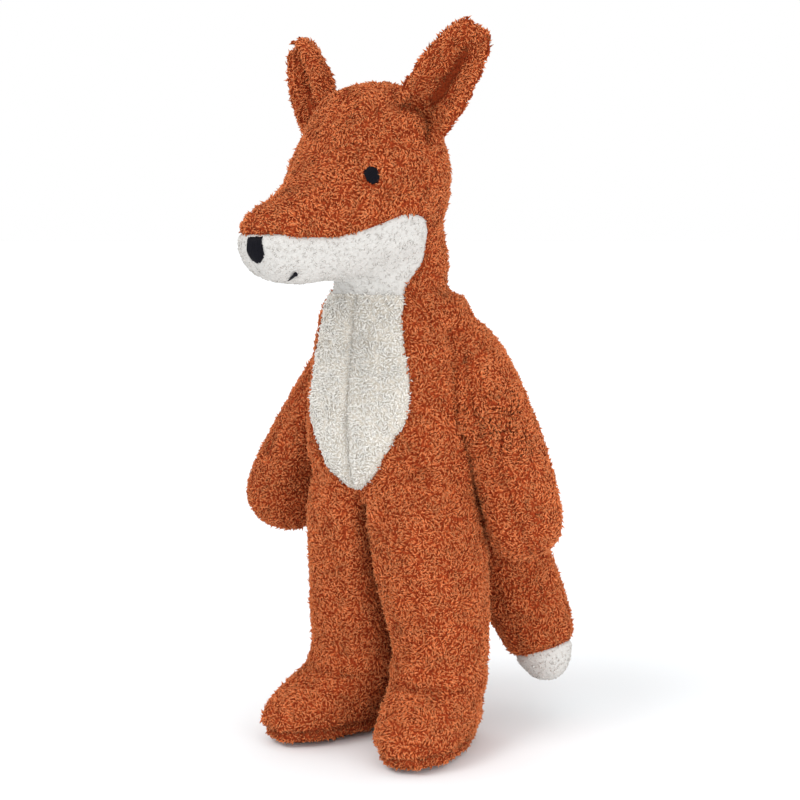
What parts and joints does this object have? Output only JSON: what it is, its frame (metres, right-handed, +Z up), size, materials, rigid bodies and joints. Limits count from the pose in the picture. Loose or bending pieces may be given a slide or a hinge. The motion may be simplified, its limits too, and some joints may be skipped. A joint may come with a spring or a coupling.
{
  "type": "plush fox",
  "caption": "Standing plush fox with a turning head, swinging arms, legs and tail, a pale belly and muzzle, and stitched eyes and nose.",
  "frame": {"origin": "middle of the bottom of the bounding box, on the floor under the feet", "axes": "+Z up, the fox faces -Y, its left side is +X"},
  "size_m": [0.1426, 0.167, 0.2994],
  "materials": {
    "orange_plush": "dense short curled pile",
    "white_plush": "fine short pile",
    "cream_plush": "fine short pile",
    "thread": "satin embroidery thread",
    "stuffing": "loose wool fibre"
  },
  "bodies": {
    "torso": {"side_panel_left": "orange_plush", "side_panel_right": "orange_plush", "belly_panel_left": "cream_plush", "belly_panel_right": "cream_plush", "torso_stuffing": "stuffing"},
    "head": {"head_panel_left": "orange_plush", "head_panel_right": "orange_plush", "jaw_panel_left": "white_plush", "jaw_panel_right": "white_plush", "head_stuffing": "stuffing", "eye_left": "thread", "eye_right": "thread", "nose": "thread", "mouth_thread": "thread", "ear_lining_left": "orange_plush", "ear_lining_right": "orange_plush", "ear_back_left": "orange_plush", "ear_back_right": "orange_plush"},
    "tail": {"tail_panel_left": "orange_plush", "tail_panel_right": "orange_plush", "tail_tip": "white_plush", "tail_stuffing": "stuffing"},
    "arm_left": {"arm_outer_left": "orange_plush", "arm_inner_left": "orange_plush", "arm_stuffing_left": "stuffing"},
    "leg_left": {"leg_outer_left": "orange_plush", "leg_inner_left": "orange_plush", "leg_stuffing_left": "stuffing", "foot_upper_left": "orange_plush", "sole_left": "orange_plush", "foot_stuffing_left": "stuffing"},
    "arm_right": {"arm_outer_right": "orange_plush", "arm_inner_right": "orange_plush", "arm_stuffing_right": "stuffing"},
    "leg_right": {"leg_outer_right": "orange_plush", "leg_inner_right": "orange_plush", "leg_stuffing_right": "stuffing", "foot_upper_right": "orange_plush", "sole_right": "orange_plush", "foot_stuffing_right": "stuffing"}
  },
  "joints": [
    {"name": "head_turn", "type": "hinge", "parent": "torso", "child": "head", "pos_m": [0.00625, -0.00062, 0.19], "axis": [0, 0, 1], "range_deg": [-35, 35], "stiffness_Nm_per_rad": 0.12},
    {"name": "shoulder_left", "type": "hinge", "parent": "torso", "child": "arm_left", "pos_m": [0.03089, 0.01333, 0.155], "axis": [-0.8471, -0.4891, -0.2079], "range_deg": [-5, 100], "stiffness_Nm_per_rad": 0.05},
    {"name": "shoulder_right", "type": "hinge", "parent": "torso", "child": "arm_right", "pos_m": [-0.01839, 0.01333, 0.155], "axis": [-0.8471, 0.4891, 0.2079], "range_deg": [-68, 77], "stiffness_Nm_per_rad": 0.05},
    {"name": "hip_left", "type": "hinge", "parent": "torso", "child": "leg_left", "pos_m": [0.02025, 0.00238, 0.1], "axis": [-1, 0, 0], "range_deg": [-11, 44], "stiffness_Nm_per_rad": 0.5},
    {"name": "hip_right", "type": "hinge", "parent": "torso", "child": "leg_right", "pos_m": [-0.00775, 0.00238, 0.1], "axis": [-1, 0, 0], "range_deg": [-11, 44], "stiffness_Nm_per_rad": 0.5},
    {"name": "tail_swing", "type": "hinge", "parent": "torso", "child": "tail", "pos_m": [0.01025, 0.0327, 0.124], "axis": [0, 1, 0], "range_deg": [0, 60], "stiffness_Nm_per_rad": 0.05}
  ]
}
